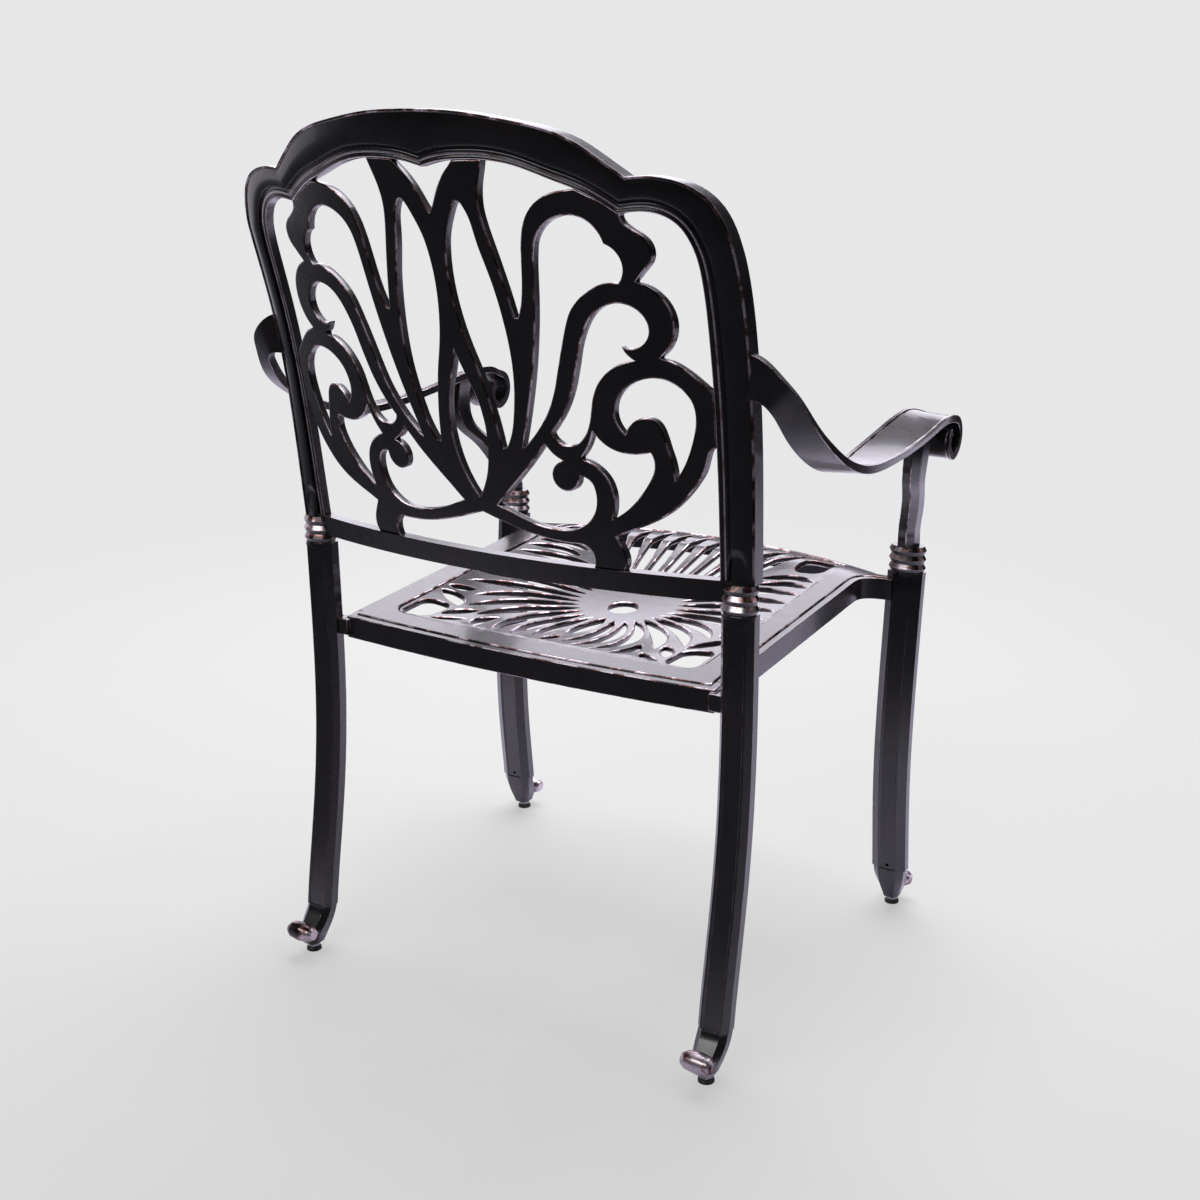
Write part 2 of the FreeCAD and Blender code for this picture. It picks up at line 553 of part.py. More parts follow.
# Its openings are leaves: one point, the middle, the other point, half the width.
MIDDLE_LEAVES = [
    ((0, 167), (0, 125), (0, 83), 9.0),
    ((0, 71), (0, 51), (0, 30), 5.5),
    ((0, 245), (0, 337), (0, 432), 5.5),
]
SIDE_LEAVES = [
    ((14, 162), (25, 109), (17, 45), 6.5),
    ((25, 167), (45, 109), (36, 32), 7.5),
    ((34, 174), (67, 117), (60, 32), 8.0),
    ((90, 87), (96, 59), (84, 31), 7.0),
    ((42, 180), (88, 133), (114, 75), 8.5),
    ((112, 54), (124, 40), (142, 32), 5.5),
    ((119, 91), (131, 73), (142, 50), 7.0),
    ((49, 188), (102, 153), (139, 95), 7.5),
    ((146, 87), (161, 103), (187, 112), 9.5),
    ((54, 197), (112, 173), (152, 127), 7.0),
    ((160, 141), (173, 132), (187, 128), 6.5),
    ((58, 208), (118, 194), (180, 155), 7.0),
    ((59, 219), (120, 214), (187, 182), 7.0),
    ((57, 231), (118, 236), (187, 211), 7.5),
    ((53, 242), (112, 259), (187, 239), 8.0),
    ((47, 252), (106, 284), (187, 268), 8.5),
    ((118, 301), (152, 306), (187, 292), 6.5),
    ((116, 318), (152, 325), (187, 313), 6.5),
    ((12, 246), (22, 337), (27, 432), 6.0),
    ((23, 250), (44, 341), (54, 430), 6.5),
    ((33, 259), (67, 345), (82, 426), 6.5),
    ((56, 289), (93, 357), (111, 420), 6.5),
    ((88, 317), (120, 367), (139, 411), 6.5),
]
CORNER_PLACES = [(167, 56), (164, 369)]
# the field that holds the lattice, a step below the rim: its corners as start, bend and end
FIELD_REAR_CORNER = [(172, 25), (186, 31), (192, 45)]
FIELD_FRONT_CORNER = [(192, 387), (186, 404), (168, 412)]
FIELD_REAR = (0, 19)
FIELD_FRONT = (0, 437)


def seat_point(x, ahead):
    """A drawn point of the lattice at its real place in plan."""
    return V(x * SEAT_WIDTH / DRAWN_SEAT[0], SEAT_REAR_Y - ahead * SEAT_DEPTH / DRAWN_SEAT[1], 0)


def seat_outline(grow=0.0):
    """The seat's edge in plan, grown all round. A horn sweeps out from each side to the front leg."""
    wide = SEAT_HALF + grow
    rear = SEAT_REAR_Y + grow
    horn_rear = FRONT_LEG_Y + HORN_WIDTH / 2
    horn_front = FRONT_LEG_Y - HORN_WIDTH / 2
    horn_end = FRONT_LEG_X - HORN_LAP
    middle = V(SEAT_HALF + HORN_SWEEP, horn_rear + HORN_SWEEP, 0)
    radius = HORN_SWEEP - grow
    turn = radius * math.sqrt(0.5)
    corner = V(wide, rear, 0)
    side = middle - V(radius, 0, 0)
    arm_out = middle - V(0, radius, 0)
    tip = V(horn_end, horn_rear + grow, 0)
    toe = V(horn_end, horn_front - grow, 0)
    knee = V(SEAT_HALF - SEAT_CORNER, SEAT_FRONT_Y - grow + SEAT_FRONT_BOW, 0)
    left = [
        Part.makeLine(corner, side),
        Part.Arc(side, middle - V(turn, turn, 0), arm_out).toShape(),
        Part.makeLine(arm_out, tip),
        Part.makeLine(tip, toe),
        Part.Arc(toe, (toe + knee) * 0.5 - V(0, HORN_SWELL, 0), knee).toShape(),
    ]
    behind = Part.Arc(V(-wide, rear, 0), V(0, rear + SEAT_REAR_BOW, 0), corner).toShape()
    before = Part.Arc(knee, V(0, SEAT_FRONT_Y - grow, 0), V(-knee.x, knee.y, 0)).toShape()
    edges = left + [behind, before] + [mirrored(edge) for edge in left]
    return Part.Wire(Part.__sortEdges__(edges))


def rim_z(x, y):
    """Upper face of the rim: a plane that turns down along the front edge."""
    share = min(abs(x) / (SEAT_HALF - SEAT_CORNER), 1.3)
    ahead = WATERFALL_REACH + SEAT_FRONT_Y + SEAT_FRONT_BOW * share * share - y
    drop = WATERFALL_DROP * (max(ahead, 0) / WATERFALL_REACH) ** 2
    return SEAT_HEIGHT + SEAT_SLOPE * (SEAT_REAR_Y - y) - drop


def dished_z(x, y):
    """Upper face of the lattice: the rim's face, sagging towards the middle."""
    across = x / (SEAT_HALF - RIM_WIDTH)
    rear = SEAT_REAR_Y - RIM_WIDTH
    front = SEAT_FRONT_Y + WATERFALL_REACH
    along = (2 * y - rear - front) / (rear - front)
    sag = max(0.0, 1 - across ** 2) * max(0.0, 1 - along ** 2)
    return rim_z(x, y) - DISH_DEPTH * sag


def seat_sheet(height, top, thickness):
    """A sheet of even thickness, a step below a height function over the seat."""
    wide = SEAT_HALF + 2 * HORN_SWEEP
    rows = (spaced(-wide, wide, 15), spaced(SEAT_FRONT_Y - RIM_WIDTH, SEAT_REAR_Y + RIM_WIDTH, 15))
    return sheet(lambda x, y: V(x, y, height(x, y) - top), rows, V(0, 0, -thickness))


def raised(wires):
    """A block with the given plan, taller than the whole seat."""
    face = Part.makeFace(wires, "Part::FaceMakerBullseye")
    return face.extrude(V(0, 0, 2 * SEAT_HEIGHT))


def leaf(start, middle, end, half):
    """An opening with two pointed ends, bent through its middle."""
    across = (end - start).cross(V(0, 0, 1))
    across.normalize()
    there = Part.Arc(start, middle + across * half, end)
    back = Part.Arc(end, middle - across * half, start)
    return Part.Wire([there.toShape(), back.toShape()])


def corner_opening(middle):
    """An upright opening with round corners."""
    across = CORNER_OPENING[0] / 2
    along = CORNER_OPENING[1] / 2
    corners = [V(across, along, 0), V(-across, along, 0), V(-across, -along, 0), V(across, -along, 0)]
    edges = []
    for i, corner in enumerate(corners):
        to_next = corners[(i + 1) % 4] - corner
        to_last = corners[i - 1] - corner
        to_next.normalize()
        to_last.normalize()
        first = corner + to_last * CORNER_ROUND
        last = corner + to_next * CORNER_ROUND
        bend = corner + (to_last + to_next) * CORNER_ROUND * (1 - math.sqrt(0.5))
        edges.append(Part.Arc(middle + first, middle + bend, middle + last).toShape())
        edges.append(Part.makeLine(middle + last, middle + corners[(i + 1) % 4] - to_next * CORNER_ROUND))
    return Part.Wire(edges)


def lattice_openings():
    """Wires of all the openings in the seat: the ring's hole, leaves that fan out from it, one in each corner."""
    wires = [Part.Wire([Part.Circle(seat_point(0, RING_AHEAD), V(0, 0, 1), RING_HOLE).toShape()])]
    for start, middle, end, half in MIDDLE_LEAVES:
        wires.append(leaf(seat_point(*start), seat_point(*middle), seat_point(*end), half))
    for side in (1, -1):
        for start, middle, end, half in SIDE_LEAVES:
            places = [seat_point(side * x, ahead) for x, ahead in (start, middle, end)]
            wires.append(leaf(*places, half))
        for x, ahead in CORNER_PLACES:
            wires.append(corner_opening(seat_point(side * x, ahead)))
    return wires


def lattice_field():
    """Plan of the field that holds the lattice."""
    rear, front = ([seat_point(*point) for point in corner] for corner in (FIELD_REAR_CORNER, FIELD_FRONT_CORNER))
    left = [Part.Arc(*rear).toShape(), Part.makeLine(rear[2], front[0]), Part.Arc(*front).toShape()]
    ends = [Part.Arc(V(-corner.x, corner.y, 0), seat_point(*middle), corner).toShape()
            for corner, middle in ((rear[0], FIELD_REAR), (front[2], FIELD_FRONT))]
    return Part.Wire(Part.__sortEdges__(left + ends + [mirrored(edge) for edge in left]))


def seat_plate(legs):
    """The seat casting: a flat rim with a horn to each front leg, round a dished lattice a step below it."""
    plate = seat_sheet(dished_z, 0, SEAT_THICKNESS).common(raised([seat_outline()] + lattice_openings()))
    above = seat_sheet(dished_z, FIELD_STEP - SEAT_THICKNESS, SEAT_THICKNESS)
    plate = plate.cut(above.common(raised([lattice_field()])))
    for leg in legs:
        plate = plate.cut(leg)
    return one_solid(plate)


def stub(x_end, y, z_top):
    """A short arm from the apron out to a leg."""
    return box(SEAT_HALF + RAIL_THICKNESS / 2, x_end, y - STUB_DEPTH / 2, y + STUB_DEPTH / 2, z_top - STUB_HEIGHT, z_top)


def seat_rails(legs):
    """Rear, left side and front rails of the apron. They follow the horns to the front legs."""
    inside = raised([seat_outline()])
    band = raised([seat_outline(RAIL_THICKNESS)]).cut(inside)
    ring = seat_sheet(rim_z, RAIL_STEP, RAIL_HEIGHT).common(band)
    wide = FRONT_LEG_X
    rear_end = SEAT_REAR_Y - RAIL_HEIGHT / 2
    top = 2 * SEAT_HEIGHT
    rear = ring.common(box(-wide, wide, rear_end, SEAT_REAR_Y + wide, 0, top))
    side = ring.common(box(0, wide, FRONT_LEG_Y, rear_end, 0, top))
    front = ring.common(box(-wide, wide, SEAT_FRONT_Y - wide, FRONT_LEG_Y, 0, top))
    stub_y = REAR_LEG_Y - STUB_DEPTH / 2
    arm_out = stub(REAR_LEG_X, stub_y, rim_z(SEAT_HALF, stub_y) - RAIL_STEP - 3)
    rear = rear.fuse([arm_out, mirrored(arm_out)]).cut(inside)
    for leg in legs:
        rear = rear.cut(leg)
        side = side.cut(leg)
        front = front.cut(leg)
    return one_solid(rear), one_solid(side), one_solid(front)


# ---------------------------------------------------------------- levelling glides
def foot_insert(x, y):
    """Threaded bush pressed into a foot."""
    bush = rod(x, y, FOOT_BOTTOM, INSERT_RADIUS, INSERT_LENGTH)
    return bush.cut(rod(x, y, FOOT_BOTTOM, STUD_RADIUS + TURN_CLEARANCE, INSERT_LENGTH)).Solids[0]


def glide_pad(x, y):
    """The pad that stands on the ground, with a socket for the stud's pivot."""
    base = rod(x, y, 0, PAD_RADIUS, PAD_HEIGHT / 2)
    cone = Part.makeCone(PAD_RADIUS, HEX_ACROSS_FLATS / 2, PAD_HEIGHT / 2, V(x, y, PAD_HEIGHT / 2))
    depth = PIVOT_LENGTH + GLIDE_GAP
    socket = rod(x, y, PAD_HEIGHT - depth, PIVOT_RADIUS + TURN_CLEARANCE, depth)
    return one_solid(base.fuse(cone).cut(socket))


def glide_stud(x, y):
    """Threaded stud with a hexagon to turn it by and a pivot in the pad."""
    low = PAD_HEIGHT + GLIDE_GAP
    corner = HEX_ACROSS_FLATS / math.sqrt(3)
    turns = [math.radians(60 * i) for i in range(6)]
    nut = Part.Face(polygon([V(x + corner * math.cos(t), y + corner * math.sin(t), low) for t in turns]))
    shank = rod(x, y, low + HEX_HEIGHT, STUD_RADIUS, STUD_LENGTH)
    pivot = rod(x, y, low - PIVOT_LENGTH, PIVOT_RADIUS, PIVOT_LENGTH)
    return one_solid(nut.extrude(V(0, 0, HEX_HEIGHT)).fuse([shank, pivot]))


# ---------------------------------------------------------------- the whole chair
def in_pairs(pieces, name, left):
    """Files a left-hand piece and its mirror image."""
    pieces[name + "_left"] = left
    pieces[name + "_right"] = mirrored(left)


def build():
    pieces = {}
    rear = rear_leg()
    front = front_leg()
    in_pairs(pieces, "rear_leg", rear)
    in_pairs(pieces, "front_leg", front)
    frame = back_frame()
    pieces["back_frame"] = frame
    pieces["back_lower_rail"] = back_rail(frame, (rear, mirrored(rear)))
    pieces["back_fretwork"] = back_fretwork()
    strap = arm(frame)
    in_pairs(pieces, "arm", strap)
    in_pairs(pieces, "arm_post", arm_post(strap))
    front_legs = (front, mirrored(front))
    pieces["seat_plate"] = seat_plate(front_legs)
    rear_rail, side_rail, front_rail = seat_rails((rear, mirrored(rear)) + front_legs)
    pieces["seat_rear_rail"] = rear_rail
    in_pairs(pieces, "seat_side_rail", side_rail)
    pieces["seat_front_rail"] = front_rail
    for place, x, y in (("rear", REAR_LEG_X, REAR_GLIDE_Y), ("front", FRONT_LEG_X, FRONT_GLIDE_Y)):
        in_pairs(pieces, place + "_foot_insert", foot_insert(x, y))
        in_pairs(pieces, place + "_glide_pad", glide_pad(x, y))
        in_pairs(pieces, place + "_glide_stud", glide_stud(x, y))
    return pieces


os.makedirs("parts", exist_ok=True)
for node, shape in build().items():
    shape.exportStep("parts/" + node + ".step")
    print(node, len(shape.Solids), round(shape.Volume / 1000, 1), "cm3", shape.isValid())
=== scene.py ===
"""Looks of the cast openwork garden armchair, in metres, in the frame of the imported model."""
import bmesh
import bpy
import math
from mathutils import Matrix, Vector


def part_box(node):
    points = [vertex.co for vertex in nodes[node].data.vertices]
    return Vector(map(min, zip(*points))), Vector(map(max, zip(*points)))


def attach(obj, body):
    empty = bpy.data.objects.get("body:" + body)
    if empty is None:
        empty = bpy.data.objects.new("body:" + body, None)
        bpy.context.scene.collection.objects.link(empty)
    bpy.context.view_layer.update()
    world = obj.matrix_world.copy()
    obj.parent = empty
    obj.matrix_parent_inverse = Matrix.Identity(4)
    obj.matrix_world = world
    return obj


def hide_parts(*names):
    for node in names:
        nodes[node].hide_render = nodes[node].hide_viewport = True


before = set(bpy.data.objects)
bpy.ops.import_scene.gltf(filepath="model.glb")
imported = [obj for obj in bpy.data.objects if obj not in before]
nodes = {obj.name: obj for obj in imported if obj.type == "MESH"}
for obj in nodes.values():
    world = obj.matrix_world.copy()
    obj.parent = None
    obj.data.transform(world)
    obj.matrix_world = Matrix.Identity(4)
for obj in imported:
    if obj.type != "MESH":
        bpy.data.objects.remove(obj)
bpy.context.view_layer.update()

SIDES = ("left", "right")
CORNERS = [(end, side) for end in ("rear", "front") for side in SIDES]
SIDEWAYS = Vector((1, 0, 0))
REARWARD = Vector((0, 1, 0))
UP = Vector((0, 0, 1))
MM = 0.001


# ---------------------------------------------------------------- materials
NOISE_RANGE = (0.3, 0.7)     # nearly all of a noise's factor lies between these

# Powder coat: noise scales of its clouding, sheen and orange peel, then its colours and its roughness.
COAT_CLOUDS = 14.0
COAT_SHEEN = 60.0
COAT_PEEL = 900.0
COAT_COLOURS = [(0.35, (0.006, 0.0052, 0.0058)), (0.7, (0.014, 0.0105, 0.0115))]
COAT_ROUGHNESS = (0.26, 0.31)

# Bronze undercoat where the powder coat is rubbed through: scales, roughness, and colours from a little worn
# to bare. The palest stop of each ramp is a painted highlight, the pale glint on arrises, beads and rings.
WEAR_AND_HIGHLIGHT_PATCHES = 45.0
WEAR_SHEEN = 80.0
WEAR_ROUGHNESS = (0.22, 0.36)
EDGE_WEAR_AND_HIGHLIGHT = [(0.43, (0.030, 0.020, 0.020)), (0.49, (0.20, 0.085, 0.070)), (0.56, (0.62, 0.54, 0.57))]
BEAD_WEAR_AND_HIGHLIGHT = [(0.35, (0.40, 0.28, 0.27)), (0.50, (0.78, 0.70, 0.73))]

# Zinc plating and moulded plastic of the glides.
ZINC_SPANGLE = 160.0
ZINC_SHEEN = 300.0
ZINC_ROUGHNESS = (0.28, 0.42)
ZINC_COLOURS = [(0.3, (0.30, 0.30, 0.31)), (0.7, (0.45, 0.45, 0.46))]
PLASTIC_CLOUDS = 120.0
PLASTIC_SHEEN = 400.0
PLASTIC_GRAIN = 2500.0
PLASTIC_ROUGHNESS = (0.42, 0.55)
PLASTIC_COLOURS = [(0.3, (0.012, 0.012, 0.012)), (0.7, (0.022, 0.022, 0.022))]


def new_material(name):
    """A material with its node tree emptied down to a shader and an output."""
    material = bpy.data.materials.new(name)
    material.use_nodes = True
    tree = material.node_tree
    tree.nodes.clear()
    shader = tree.nodes.new("ShaderNodeBsdfPrincipled")
    output = tree.nodes.new("ShaderNodeOutputMaterial")
    tree.links.new(shader.outputs["BSDF"], output.inputs["Surface"])
    return material, tree, shader


def noise(tree, scale, detail=3.0):
    """Noise on the piece's own coordinates. Returns its factor."""
    place = tree.nodes.new("ShaderNodeTexCoord")
    texture = tree.nodes.new("ShaderNodeTexNoise")
    texture.inputs["Scale"].default_value = scale
    texture.inputs["Detail"].default_value = detail
    texture.inputs["Roughness"].default_value = 0.55
    tree.links.new(place.outputs["Object"], texture.inputs["Vector"])
    return texture.outputs["Fac"]


def ramp(tree, factor, stops):
    """A colour ramp over the factor; stops are (position, colour)."""
    node = tree.nodes.new("ShaderNodeValToRGB")
    elements = node.color_ramp.elements
    while len(elements) < len(stops):
        elements.new(0.5)
    for element, (position, colour) in zip(elements, stops):
        element.position = position
        element.color = (*colour, 1)
    tree.links.new(factor, node.inputs["Fac"])
    return node.outputs["Color"]


def spread(tree, factor, limits):
    """A noise's factor mapped to a range."""
    node = tree.nodes.new("ShaderNodeMapRange")
    node.inputs["From Min"].default_value, node.inputs["From Max"].default_value = NOISE_RANGE
    node.inputs["To Min"].default_value, node.inputs["To Max"].default_value = limits
    tree.links.new(factor, node.inputs["Value"])
    return node.outputs["Result"]


def bump(tree, shader, factor, strength, distance):
    """Roughens a surface by the factor, to a depth in metres."""
    node = tree.nodes.new("ShaderNodeBump")
    node.inputs["Strength"].default_value = strength
    node.inputs["Distance"].default_value = distance
    tree.links.new(factor, node.inputs["Height"])
    tree.links.new(node.outputs["Normal"], shader.inputs["Normal"])


def mottled(name, scale, stops, detail=3.0):
    """A material whose colour follows a noise."""
    material, tree, shader = new_material(name)
    colour = ramp(tree, noise(tree, scale, detail), stops)
    tree.links.new(colour, shader.inputs["Base Color"])
    return material, tree, shader


def powder_coat():
    """Bronze-black powder coat, satin and faintly clouded, with a fine orange peel."""
    material, tree, shader = mottled("bronze_black_powder_coat", COAT_CLOUDS, COAT_COLOURS)
    tree.links.new(spread(tree, noise(tree, COAT_SHEEN), COAT_ROUGHNESS), shader.inputs["Roughness"])
    shader.inputs["Specular IOR Level"].default_value = 0.75
    shader.inputs["Coat Weight"].default_value = 0.4
    shader.inputs["Coat Roughness"].default_value = 0.1
    bump(tree, shader, noise(tree, COAT_PEEL, 2.0), 0.012, 0.0004)
    return material


def rubbed_and_highlit(name, stops):
    """Places where the bronze undercoat shows through the powder coat, its palest patches a painted
    highlight.
    """
    material, tree, shader = mottled(name, WEAR_AND_HIGHLIGHT_PATCHES, stops, 4.0)
    tree.links.new(spread(tree, noise(tree, WEAR_SHEEN), WEAR_ROUGHNESS), shader.inputs["Roughness"])
    shader.inputs["Metallic"].default_value = 0.85
    shader.inputs["Specular IOR Level"].default_value = 0.9
    shader.inputs["Coat Weight"].default_value = 0.4
    shader.inputs["Coat Roughness"].default_value = 0.12
    return material


def zinc_plate():
    """Bright zinc plating on the glides' studs and inserts."""
    material, tree, shader = mottled("zinc_plated_steel", ZINC_SPANGLE, ZINC_COLOURS)
    tree.links.new(spread(tree, noise(tree, ZINC_SHEEN), ZINC_ROUGHNESS), shader.inputs["Roughness"])
    shader.inputs["Metallic"].default_value = 1.0
    return material


def black_plastic():
    """Moulded plastic of the glides' pads, with a fine grain."""
    material, tree, shader = mottled("moulded_black_plastic", PLASTIC_CLOUDS, PLASTIC_COLOURS)
    tree.links.new(spread(tree, noise(tree, PLASTIC_SHEEN), PLASTIC_ROUGHNESS), shader.inputs["Roughness"])
    bump(tree, shader, noise(tree, PLASTIC_GRAIN, 2.0), 0.1, 0.0002)
    return material


def dress(piece, *materials):
    """Gives a piece its materials. Emptying the list would set every face back to the first of them."""
    if piece.data.materials:
        piece.data.materials.clear()
    for material in materials:
        piece.data.materials.append(material)


coat = powder_coat()
# Rubbed bronze with painted highlights: edge for arrises, toes and ring flanks, bead for beads and crests.
edge = rubbed_and_highlit("rubbed_bronze_edge_and_highlight", EDGE_WEAR_AND_HIGHLIGHT)
bead = rubbed_and_highlit("bead_highlight_and_rub", BEAD_WEAR_AND_HIGHLIGHT)
steel = zinc_plate()
plastic = black_plastic()


# ---------------------------------------------------------------- surfaces of the back and the seat
REAR_LEG_X = 0.2555
REAR_LEG_Y = 0.1595
REAR_COLLAR_TOP = 0.506
BACK_LEAN = 0.232            # rearward lean at the foot of the stiles, per unit of height
BACK_CURL = 0.038            # growth of the lean with height
BOW_FOOT = 0.870             # radii of the bow in plan at the foot, the waist and the shoulders
BOW_WAIST = 0.585
BOW_SHOULDER = 0.655
WAIST_ABOVE_FOOT = 0.214
SHOULDER_ABOVE_WAIST = 0.100

SEAT_HEIGHT = 0.3952         # of the rim at the rear
SEAT_SLOPE = 0.068
SEAT_HALF = 0.220            # half the seat's width
SEAT_CORNER = 0.045
SEAT_REAR_Y = 0.147
SEAT_FRONT_Y = -0.305
SEAT_FRONT_BOW = 0.026
SEAT_BOW_END = 1.3           # the front's bow ends here, in half widths less the corner
RIM_WIDTH = 0.028
DISH_DEPTH = 0.025
WATERFALL_REACH = 0.082      # how far behind the front edge the rim starts to turn down, and how far it drops
WATERFALL_DROP = 0.016


def back_y(x, z):
    """Middle surface of the bowed and leaning back."""
    rise = z - REAR_COLLAR_TOP
    above = rise - WAIST_ABOVE_FOOT
    if above < 0:
        bow = BOW_WAIST + (BOW_FOOT - BOW_WAIST) * (above / WAIST_ABOVE_FOOT) ** 2
    else:
        bow = BOW_WAIST + (BOW_SHOULDER - BOW_WAIST) * min(above / SHOULDER_ABOVE_WAIST, 1) ** 2
    foot = REAR_LEG_Y + REAR_LEG_X ** 2 / (2 * BOW_FOOT)
    return foot + BACK_LEAN * rise + BACK_CURL * rise * rise - x * x / (2 * bow)


def seat_z(x, y):
    """Upper face of the seat: a sloping rim that turns down in front, and a dished lattice."""
    share = min(abs(x) / (SEAT_HALF - SEAT_CORNER), SEAT_BOW_END)
    ahead = WATERFALL_REACH + SEAT_FRONT_Y + SEAT_FRONT_BOW * share * share - y
    drop = WATERFALL_DROP * (max(ahead, 0) / WATERFALL_REACH) ** 2
    rim = SEAT_HEIGHT + SEAT_SLOPE * (SEAT_REAR_Y - y) - drop
    across = x / (SEAT_HALF - RIM_WIDTH)
    rear = SEAT_REAR_Y - RIM_WIDTH
    front = SEAT_FRONT_Y + WATERFALL_REACH
    along = (2 * y - rear - front) / (rear - front)
    return rim - DISH_DEPTH * max(0.0, 1 - across ** 2) * max(0.0, 1 - along ** 2)


# ---------------------------------------------------------------- castings worked from flat faces
COAT, EDGE, BEAD = 0, 1, 2   # places of the three materials on a casting, the plainest first
WELD = 2e-5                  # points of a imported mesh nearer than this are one
WELD_FLAT = 3e-4             # and, once a face is laid flat, so are points nearer than this
FACING = 0.3                 # least cosine to the axis of a face that looks along it on a bent casting
FACING_FLAT = 0.5            # and on a flat one
CRISP = 40.0                 # angle in degrees past which an arris stays sharp in the shading
PITCH = 0.016                # distance between cuts, so that a flat casting can be bent
FRET_HALF = 0.005            # half the fretwork's depth
FRET_STEPS = [(0.0006, 0.0008), (0.0008, 0.0004), (0.0006, 0.0)]
SEAT_STEPS = [(0.0007, 0.0008), (0.0010, 0.0005), (0.0007, 0.0)]
SEAT_THICKNESS = 0.008
FIELD_STEP = 0.0015          # how far the seat's lattice lies below its rim


def in_place(piece, node, crisp):
    """Shades a casting, ties it to the chair and puts it in the place of its node."""
    piece.data.shade_smooth()
    piece.data.set_sharp_from_angle(angle=math.radians(crisp))
    weights = piece.modifiers.new("weights", "WEIGHTED_NORMAL")
    weights.keep_sharp = True
    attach(piece, "chair")
    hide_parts(node)


def finish_casting(work, name, node, crisp=CRISP):
    """Turns a worked mesh into the casting that stands for a node."""
    bmesh.ops.triangulate(work, faces=[f for f in work.faces if len(f.verts) > 4], quad_method="BEAUTY",
                          ngon_method="BEAUTY")
    mesh = bpy.data.meshes.new(name)
    work.to_mesh(mesh)
    work.free()
    piece = bpy.data.objects.new(name, mesh)
    bpy.context.scene.collection.objects.link(piece)
    dress(piece, coat, edge, bead)
    in_place(piece, node, crisp)


def joined_to(start):
    """The faces that can be reached from one face over shared edges."""
    found, fresh = {start}, [start]
    while fresh:
        face = fresh.pop()
        for beside in (other for side in face.edges for other in side.link_faces if other not in found):
            found.add(beside)
            fresh.append(beside)
    return found


def flat_face(node, axis, part=None):
    """The face of a casting that looks along an axis, laid flat square to it.

    Where it has two levels, part tells the outer one ("outer") from the rest ("rest")."""
    work = bmesh.new()
    work.from_mesh(nodes[node].data)
    bmesh.ops.remove_doubles(work, verts=work.verts, dist=WELD)
    bmesh.ops.delete(work, geom=[f for f in work.faces if f.normal.dot(axis) < FACING], context="FACES")
    if part:
        outer = joined_to(max(work.faces, key=lambda f: f.calc_center_median().y))
        drop = [f for f in work.faces if (f in outer) != (part == "outer")]
        bmesh.ops.delete(work, geom=drop, context="FACES")
    for vert in work.verts:
        vert.co -= axis * vert.co.dot(axis)
    bmesh.ops.remove_doubles(work, verts=work.verts, dist=WELD_FLAT)
    return work


def thicken(work, axis, half, steps):
    """A flat face thickened both ways, its faces worked inwards from their edges in steps (inset, rise)."""
    start = half - max(sum(rise for _, rise in steps[:i + 1]) for i in range(len(steps)))
    grown = bmesh.ops.extrude_face_region(work, geom=work.faces[:], use_keep_orig=True)
    verts = [item for item in grown["geom"] if isinstance(item, bmesh.types.BMVert)]
    bmesh.ops.translate(work, verts=verts, vec=2 * start * axis)
    bmesh.ops.translate(work, verts=work.verts, vec=-start * axis)
    bmesh.ops.recalc_face_normals(work, faces=work.faces)
    for side in (1, -1):
        faces = [f for f in work.faces if side * f.normal.dot(axis) > FACING_FLAT]
        for inset, rise in steps:
            ring = bmesh.ops.inset_region(work, faces=faces, thickness=inset, depth=rise, use_boundary=True,
                                          use_even_offset=False)
            for face in ring["faces"]:
                # Sloped steps take the edge material: rubbed bronze with painted highlights along the
                # arrises.
                face.material_index = EDGE if rise else COAT


def grid_cut(work, normal, low, high):
    """Cuts across the whole mesh at even steps."""
    for i in range(int((high - low) / PITCH) + 1):
        bmesh.ops.bisect_plane(work, geom=work.verts[:] + work.edges[:] + work.faces[:], dist=1e-6,
                               plane_co=normal * (low + i * PITCH), plane_no=normal)


def merged(parts):
    """Several worked meshes as one."""
    whole = parts[0]
    for part in parts[1:]:
        mesh = bpy.data.meshes.new("part")
        part.to_mesh(mesh)
        part.free()
        whole.from_mesh(mesh)
        bpy.data.meshes.remove(mesh)
    return whole


def fretwork():
    """Tulip fretwork: laid flat, thickened with soft arrises, and bent to the back."""
    work = flat_face("back_fretwork", REARWARD)
    thicken(work, REARWARD, FRET_HALF, FRET_STEPS)
    low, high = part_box("back_frame")
    grid_cut(work, SIDEWAYS, low.x, high.x)
    grid_cut(work, UP, low.z, high.z)
    for vert in work.verts:
        vert.co.y += back_y(vert.co.x, vert.co.z)
    finish_casting(work, "back_fretwork_casting", "back_fretwork")


def seat():
    """The seat: a rim and, a step below it, the lattice, both bent to the dished seat."""
    layers = []
    for part, top in (("outer", 0.0), ("rest", -FIELD_STEP)):
        work = flat_face("seat_plate", UP, part)
        half = (SEAT_THICKNESS + top) / 2
        thicken(work, UP, half, SEAT_STEPS)
        for vert in work.verts:
            vert.co.z += top - half
        layers.append(work)
    work = merged(layers)
    low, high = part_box("seat_plate")
    grid_cut(work, SIDEWAYS, low.x, high.x)
    grid_cut(work, REARWARD, low.y, high.y)
    for vert in work.verts:
        vert.co.z += seat_z(vert.co.x, vert.co.y)
    finish_casting(work, "seat_casting", "seat_plate")


